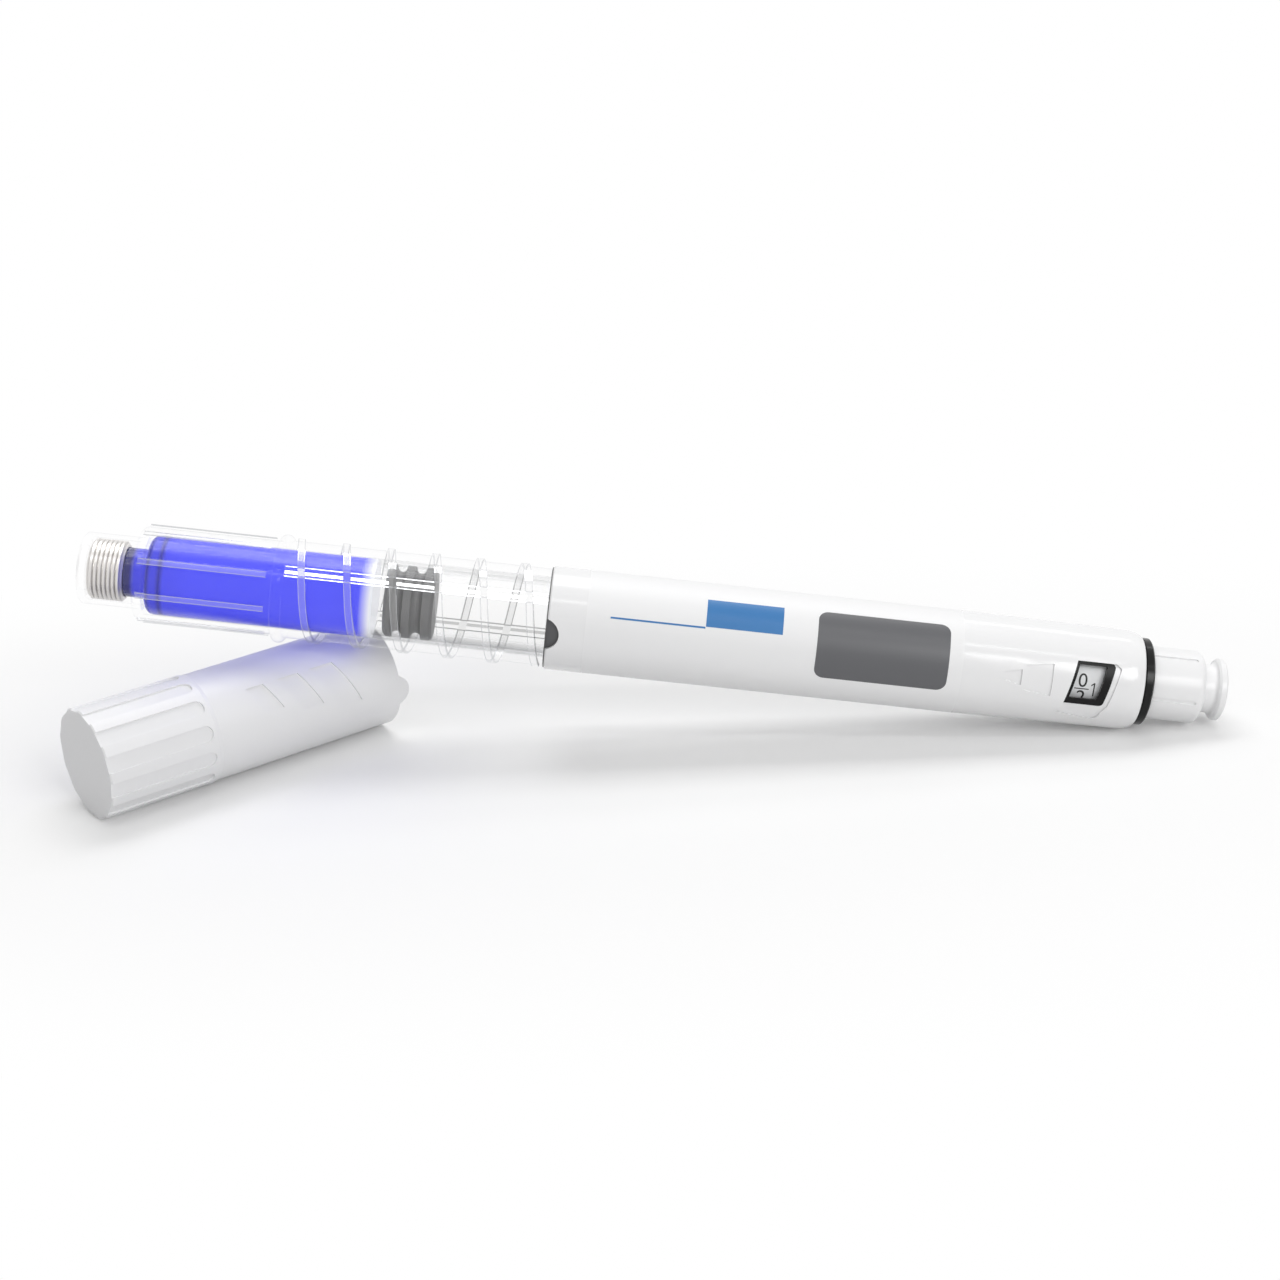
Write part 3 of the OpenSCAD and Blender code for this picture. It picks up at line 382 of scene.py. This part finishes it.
finish_node("cartridge_glass",
            clear_material("cartridge_glass", (0.40, 0.41, 0.43, 1), 0.12, 10.0, shade_below=3.0))

# Liquid
# The blue dose. Through the round glass wall it seems to reach the outside of the glass.
# It glows with its own colour, a painted glow. Just ahead of the plunger its colour runs out into a
# glowing pale grey, which stands in for a clear gap.
LIQUID_R, NECK_R = 5.72, 3.55
LIQUID_START, BARREL_START, LIQUID_END, SHOULDER = 6.4, 9.6, 42.3, 1.1
SHADOW_LESS, LAST_SHARE = 0.6, 0.005


def arc(along, radius, length, height, start, end, steps=8):
    """Points on part of an ellipse, as places along the pen and radii."""
    return [(along + length * math.cos(math.radians(start + (end - start) * i / steps)),
             radius + height * math.sin(math.radians(start + (end - start) * i / steps)))
            for i in range(steps + 1)]


def turned(name, outline, material, segments=96, crease=35):
    """A turned piece: an outline of (along, radius) in mm, swept round the axis."""
    mesh = bpy.data.meshes.new(name)
    shape = bmesh.new()
    rings = []
    for along, radius in outline:
        count = segments if radius > 1e-6 else 1
        rings.append([shape.verts.new(pen(radius, 360 * i / count, along)) for i in range(count)])
    for a, b in zip(rings, rings[1:]):
        for i in range(segments):
            corners = [a[i % len(a)], a[(i + 1) % len(a)], b[(i + 1) % len(b)], b[i % len(b)]]
            unique = list(dict.fromkeys(corners))
            if len(unique) > 2:
                shape.faces.new(unique)
    bmesh.ops.recalc_face_normals(shape, faces=shape.faces)
    shape.to_mesh(mesh)
    shape.free()
    mesh.shade_smooth()
    mesh.set_sharp_from_angle(angle=math.radians(crease))
    mesh.materials.append(material)
    piece = bpy.data.objects.new(name, mesh)
    bpy.context.scene.collection.objects.link(piece)
    return piece


# Painted shade on the blue: dark rings in the neck, in the shadow behind the crimp, and at the
# shoulder, where the glass bends the light; then clear blue.
# Each row is a place along the pen, in mm, and the colour there.
blue, nodes, link, output = new_material("blue_liquid")
# A painted glow: the dose shines with its own colour, though it is no lamp.
surface = node(nodes, "BsdfPrincipled", Roughness=0.25, Emission_Strength=0.6)
spot = use(nodes, pen_place)
tone = node(nodes, "ValToRGB")
BLUE_AND_PAINTED_SHADE = [
    (6.0, (0.007, 0.007, 0.070)), (7.3, (0.009, 0.009, 0.104)), (7.9, (0.035, 0.039, 0.522)),
    (9.7, (0.043, 0.048, 0.609)), (10.1, (0.013, 0.013, 0.191)), (10.6, (0.035, 0.039, 0.522)),
    (11.4, (0.035, 0.039, 0.522)), (11.9, (0.017, 0.017, 0.244)), (12.5, (0.043, 0.048, 0.626)),
    (16.0, (0.048, 0.054, 0.696)), (40.4, (0.048, 0.054, 0.696)), (42.0, (0.61, 0.62, 0.66))]
RAMP_REACH = 50.0
ramp = tone.color_ramp
while len(ramp.elements) < len(BLUE_AND_PAINTED_SHADE):
    ramp.elements.new(0.5)
for mark, (along, colour) in zip(ramp.elements, BLUE_AND_PAINTED_SHADE):
    mark.position, mark.color = along / RAMP_REACH, (*colour, 1)
link(calc(nodes, link, "DIVIDE", spot.outputs["Along"], RAMP_REACH), tone.inputs["Fac"])
link(tone.outputs["Color"], surface.inputs["Base Color"])
link(tone.outputs["Color"], surface.inputs["Emission Color"])
shadow_ray = node(nodes, "LightPath").outputs["Is Shadow Ray"]
link(calc(nodes, link, "MULTIPLY_ADD", shadow_ray, -SHADOW_LESS, 1.0), surface.inputs["Alpha"])
link(surface.outputs["BSDF"], output.inputs["Surface"])

liquid = turned("blue_dose", [
    (LIQUID_START, 0), (LIQUID_START, NECK_R), (BARREL_START, NECK_R),
    *arc(BARREL_START + SHOULDER, LIQUID_R - SHOULDER, SHOULDER, SHOULDER, 180, 90),
    (LIQUID_END, LIQUID_R), (LIQUID_END, 0)], blue)
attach(liquid, "pen")
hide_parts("liquid")
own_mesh(liquid)

# Moulded parts: white, grey and black
# The housing, knob, button and cap are moulded in white plastic with a satin skin. Inner
# parts are plain mouldings. Each has a fine eroded grain and a few rubbed places.

# A moulded skin: fine grain for the bump, and roughness that varies where hands rub it
RELIEF = 0.05 * MM
skin, nodes, link, ins, outs = group(
    "moulded_skin", {"Grain": 9000.0, "Roughness": 0.3, "Rubbing": 0.1}, ["Height", "Roughness"])
spot = node(nodes, "TexCoord")
grain = node(nodes, "TexNoise", Detail=3.0, Roughness=0.6)
link(spot.outputs["Object"], grain.inputs["Vector"])
link(ins.outputs["Grain"], grain.inputs["Scale"])
rubbed = node(nodes, "TexNoise", Scale=140.0, Detail=4.0, Roughness=0.55)
link(spot.outputs["Object"], rubbed.inputs["Vector"])
swing = calc(nodes, link, "SUBTRACT", rubbed.outputs["Fac"], 0.5)
link(grain.outputs["Fac"], outs.inputs["Height"])
worn = calc(nodes, link, "MULTIPLY_ADD", swing, ins.outputs["Rubbing"], ins.outputs["Roughness"],
            clamp=True)
link(worn, outs.inputs["Roughness"])


def moulded(name, colour, roughness, rubbing=0.04, bump=0.03, **sockets):
    """Moulded plastic or rubber with its grain and rubbed places."""
    material, nodes, link, output = new_material(name)
    surface = node(nodes, "BsdfPrincipled", Base_Color=(*colour, 1))
    for key, value in sockets.items():
        surface.inputs[key.replace("_", " ")].default_value = value
    texture = use(nodes, skin, Roughness=roughness, Rubbing=rubbing)
    relief = node(nodes, "Bump", Strength=bump, Distance=RELIEF)
    link(texture.outputs["Height"], relief.inputs["Height"])
    link(texture.outputs["Roughness"], surface.inputs["Roughness"])
    link(relief.outputs["Normal"], surface.inputs["Normal"])
    link(surface.outputs["BSDF"], output.inputs["Surface"])
    return material


WHITE = (0.90, 0.90, 0.905)
white_plastic = moulded("white_plastic", WHITE, 0.28)
for name in ("dose_knob", "injection_button"):
    finish_node(name, white_plastic)

# The housing's label is a matt film; the plastic before and behind it is glossier
LABEL_MIDDLE, LABEL_HALF, LABEL_EDGE, LABEL_MATT = 100.0, 27.0, 0.1, 0.30
housing_plastic = moulded("housing_plastic", WHITE, 0.16)
nodes, link = housing_plastic.node_tree.nodes, housing_plastic.node_tree.links.new
spot = use(nodes, pen_place)
off_middle = calc(nodes, link, "SUBTRACT", spot.outputs["Along"], LABEL_MIDDLE)
film = node(nodes, "MapRange", From_Min=LABEL_HALF + LABEL_EDGE, From_Max=LABEL_HALF - LABEL_EDGE,
            To_Max=LABEL_MATT)
link(calc(nodes, link, "ABSOLUTE", off_middle), film.inputs["Value"])
surface = nodes["Principled BSDF"]
plain = surface.inputs["Roughness"].links[0].from_socket
link(calc(nodes, link, "ADD", plain, film.outputs["Result"]), surface.inputs["Roughness"])
finish_node("housing", housing_plastic)
finish_node("cap", moulded("cap_plastic", (0.88, 0.88, 0.89), 0.38, Subsurface_Weight=0.15,
                           Subsurface_Radius=(0.002, 0.002, 0.002), Subsurface_Scale=1.0))
finish_node("seat_ring", moulded("dark_plastic", (0.09, 0.09, 0.095), 0.4))
BLACK = (0.004, 0.004, 0.004)
finish_node("rear_ring", moulded("black_ring", BLACK, 0.2, Specular_IOR_Level=0.25))
finish_node("window_frame", moulded("black_frame", BLACK, 0.3, Specular_IOR_Level=0.2))
finish_node("plunger", moulded("plunger_rubber", (0.25, 0.25, 0.253), 0.45, bump=0.1))
finish_node("septum", moulded("septum_rubber", (0.12, 0.11, 0.11), 0.6))
finish_node("dose_drum", moulded("drum_plastic", (0.82, 0.83, 0.84), 0.4))
inner = moulded("inner_plastic", (0.7, 0.71, 0.73), 0.4)
for name in ("cartridge_ring", "rod_guide", "lead_screw", "nut_retainer", "ratchet_ring",
             "dial_sleeve", "rear_bush", "button_clip"):
    finish_node(name, inner)
finish_node("rod_foot", moulded("foot_plastic", (0.12, 0.12, 0.13), 0.4))
blue_grey = moulded("nut_plastic", (0.35, 0.42, 0.5), 0.4)
for name in ("drive_nut", "click_wheel"):
    finish_node(name, blue_grey)

# Crimp and springs
# The crimp is rolled from thin aluminium: fine marks of the rolling tool run round it, and its
# grooves carry painted shade.
# The springs are wound from drawn steel wire.
MARKS_SCATTER = 0.2
rolled, nodes, link, ins, outs = group(
    "rolled_metal", {"Marks": 40.0, "Roughness": 0.3, "Groove": 0.0, "Depth": 1.0},
    ["Height", "Roughness", "Raised"])
spot = use(nodes, pen_place)
lines = node(nodes, "TexNoise", {"noise_dimensions": "1D"}, Detail=4.0, Scale=1.0)
link(calc(nodes, link, "MULTIPLY", spot.outputs["Along"], ins.outputs["Marks"]), lines.inputs["W"])
marks = lines.outputs["Fac"]
link(marks, outs.inputs["Height"])
scattered = calc(nodes, link, "MULTIPLY_ADD", marks, MARKS_SCATTER, ins.outputs["Roughness"])
link(scattered, outs.inputs["Roughness"])
above_groove = calc(nodes, link, "SUBTRACT", spot.outputs["Radius"], ins.outputs["Groove"])
above_groove = calc(nodes, link, "ABSOLUTE", above_groove)
link(calc(nodes, link, "DIVIDE", above_groove, ins.outputs["Depth"], clamp=True),
     outs.inputs["Raised"])


def metal(name, colour, roughness, marks, groove=0.0, depth=1.0, dark=1.0):
    """Rolled or drawn metal, with painted shade where its radius is down in a groove."""
    material, nodes, link, output = new_material(name)
    surface = node(nodes, "BsdfPrincipled", Metallic=1.0)
    texture = use(nodes, rolled, Marks=marks, Roughness=roughness, Groove=groove, Depth=depth)
    surface.inputs["Base Color"].default_value = (*colour, 1)
    # Painted shade: in the grooves the colour is darkened by the share dark.
    if dark < 1.0:
        painted_groove_shade = tuple(c * dark for c in colour)
        shaded = mix_colours(nodes, link, texture.outputs["Raised"], (*painted_groove_shade, 1), (*colour, 1))
        link(shaded, surface.inputs["Base Color"])
    relief = node(nodes, "Bump", Strength=0.15, Distance=RELIEF)
    link(texture.outputs["Height"], relief.inputs["Height"])
    link(texture.outputs["Roughness"], surface.inputs["Roughness"])
    link(relief.outputs["Normal"], surface.inputs["Normal"])
    link(surface.outputs["BSDF"], output.inputs["Surface"])
    return material


CRIMP_GROOVE_R, CRIMP_RIDGE = 4.22, 0.15
finish_node("crimp_cap", metal("rolled_aluminium", (0.72, 0.70, 0.68), 0.24, marks=25.0,
                               groove=CRIMP_GROOVE_R, depth=CRIMP_RIDGE, dark=0.72))
spring_wire = metal("spring_wire", (0.55, 0.55, 0.57), 0.25, marks=4.0)
for name in ("cartridge_spring", "drive_spring", "button_spring"):
    finish_node(name, spring_wire)

# The button's own spring shortens as the button goes in, so a copy of it, with its own
# mesh, stands in for the solid one and goes with the dial.
stiff = frame["nodes"]["button_spring"]
button_coil = bpy.data.objects.new("button_coil", stiff.data.copy())
button_coil.matrix_world = stiff.matrix_world
bpy.context.scene.collection.objects.link(button_coil)
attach(button_coil, "dial")
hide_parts("button_spring")
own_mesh(button_coil)

# Window lens
# A small window of clear acrylic, set in the black frame over the number drum.
finish_node("window_lens", clear_material("lens_plastic", (0.90, 0.91, 0.92, 1), 0.15, 6.0))

# Numbers on the drum
# Plain numbers, printed round the drum: even ones in one column, odd ones beside a dash
# in the other, twelve degrees apart.
DRUM_R = 6.0
INK_PROUD, INK_DEEP, INK_STRIP = 0.015, 0.03, 0.25
NUMBER_HEIGHT, TWO_DIGITS_NARROW = 2.0, 0.75
EVEN_AT, ODD_AT, DASH_AT, DASH_LENGTH, DASH_WIDTH = 144.65, 146.25, 144.6, 2.1, 0.14
FIRST_TURN, CLICK_TURN, LAST_NUMBER = 15.5, 12.0, 27


def printed(name, flat, material, radius, body):
    """Ink: flat outlines (along, upwards, in mm), cut in strips and laid on a round surface."""
    shape = bmesh.new()
    shape.from_mesh(flat)
    low, high = min(v.co.y for v in shape.verts), max(v.co.y for v in shape.verts)
    y = low + INK_STRIP
    while y < high:
        everything = shape.verts[:] + shape.edges[:] + shape.faces[:]
        bmesh.ops.bisect_plane(shape, geom=everything, dist=1e-6,
                               plane_co=(0, y, 0), plane_no=(0, 1, 0))
        y += INK_STRIP
    front = shape.faces[:]
    back = bmesh.ops.extrude_face_region(shape, geom=front)["geom"]
    raised = {v for v in back if isinstance(v, bmesh.types.BMVert)}
    for v in shape.verts:
        r = radius + (INK_PROUD if v in raised else -INK_DEEP)
        v.co = pen(r, math.degrees(v.co.y / radius), v.co.x)
    bmesh.ops.recalc_face_normals(shape, faces=shape.faces)
    mesh = bpy.data.meshes.new(name)
    shape.to_mesh(mesh)
    shape.free()
    mesh.materials.append(material)
    piece = bpy.data.objects.new(name, mesh)
    bpy.context.scene.collection.objects.link(piece)
    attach(piece, body)


def ink(name, colour):
    """Printing ink, worn a little unevenly."""
    return moulded(name, colour, 0.35, rubbing=0.2, bump=0.02)


# A plain one, a unit high: the upright stroke and its slanting flag
ONE = [(0.02, -0.5), (0.11, -0.5), (0.11, 0.5), (0.03, 0.5), (-0.16, 0.35), (-0.16, 0.25),
       (0.02, 0.38)]
DIGIT_STEP = 0.62


def digit_outline(digit):
    """The flat mesh of one plain digit, centred and a unit high."""
    if digit == "1":
        mesh = bpy.data.meshes.new("one")
        mesh.from_pydata([(x, y, 0) for x, y in ONE], [], [range(len(ONE))])
        return mesh
    letters = bpy.data.curves.new("digit", "FONT")
    letters.body, letters.size = digit, 1.0
    letters.resolution_u = 6
    carrier = bpy.data.objects.new("digit", letters)
    bpy.context.scene.collection.objects.link(carrier)
    bpy.context.view_layer.update()
    drawn = carrier.evaluated_get(bpy.context.evaluated_depsgraph_get())
    mesh = bpy.data.meshes.new_from_object(drawn)
    bpy.data.objects.remove(carrier)
    low = Vector(min(v.co[axis] for v in mesh.vertices) for axis in range(3))
    high = Vector(max(v.co[axis] for v in mesh.vertices) for axis in range(3))
    for v in mesh.vertices:
        v.co = (v.co - (low + high) / 2) / (high.y - low.y)
    return mesh


def number_outline(number, height, narrow):
    """The flat mesh of a plain number, centred, in mm."""
    shape = bmesh.new()
    digits = str(number)
    for i, digit in enumerate(digits):
        flat = digit_outline(digit)
        off_middle = (i - (len(digits) - 1) / 2) * DIGIT_STEP
        flat.transform(Matrix.Translation((off_middle, 0, 0)))
        shape.from_mesh(flat)
    bmesh.ops.triangulate(shape, faces=shape.faces[:])
    mesh = bpy.data.meshes.new("number")
    shape.to_mesh(mesh)
    shape.free()
    mesh.transform(Matrix.Diagonal((height * narrow, height, 1, 1)))
    return mesh


numbers = bmesh.new()
for value in range(LAST_NUMBER + 1):
    up = math.radians(FIRST_TURN - CLICK_TURN * value) * DRUM_R
    number = number_outline(value, NUMBER_HEIGHT, 1.0 if value < 10 else TWO_DIGITS_NARROW)
    shift = Matrix.Translation((EVEN_AT if value % 2 == 0 else ODD_AT, up, 0))
    number.transform(shift)
    numbers.from_mesh(number)
    if value % 2:
        dash = [numbers.verts.new((DASH_AT + x * DASH_LENGTH / 2, up + y * DASH_WIDTH / 2, 0))
                for x, y in ((-1, -1), (1, -1), (1, 1), (-1, 1))]
        numbers.faces.new(dash)
flat_numbers = bpy.data.meshes.new("flat_numbers")
numbers.to_mesh(flat_numbers)
numbers.free()
dark_ink = ink("dial_ink", (0.012, 0.012, 0.012))
printed("dial_numbers", flat_numbers, dark_ink, DRUM_R, "dial")

# Printed label
# Ink printed on the label film of the housing: a blue bar, a thin blue underline and a grey
# panel with rounded corners. Each row is its name, ends along the pen, turns and corner.
BODY_R = 7.5


def rounded_outline(along, turns, corner):
    """A flat rectangle with rounded corners: its ends along the pen, and its turns."""
    low, high = (math.radians(t) * BODY_R for t in turns)
    start, end = along
    flat = bpy.data.meshes.new("flat")
    shape = bmesh.new()
    points = []
    steps = 10 if corner > 0.01 else 0
    for cx, cy, first in ((end - corner, high - corner, 0), (start + corner, high - corner, 90),
                          (start + corner, low + corner, 180), (end - corner, low + corner, 270)):
        for i in range(steps + 1):
            a = math.radians(first + (90 * i / steps if steps else 45))
            x, y = cx + corner * math.cos(a), cy + corner * math.sin(a)
            points.append(shape.verts.new((x, y, 0)))
    shape.faces.new(points)
    shape.to_mesh(flat)
    shape.free()
    return flat


blue_ink = ink("label_blue", (0.035, 0.19, 0.47))
grey_ink = ink("label_grey", (0.118, 0.120, 0.128))
for name, along, turns, corner, colour in (
        ("label_bar", (90.0, 101.0), (30.8, 64.0), 0.0, blue_ink),
        ("label_underline", (76.4, 89.95), (28.6, 30.6), 0.0, blue_ink),
        ("label_panel", (106.0, 125.0), (-13.0, 64.5), 1.45, grey_ink)):
    printed(name, rounded_outline(along, turns, corner), colour, BODY_R, "pen")
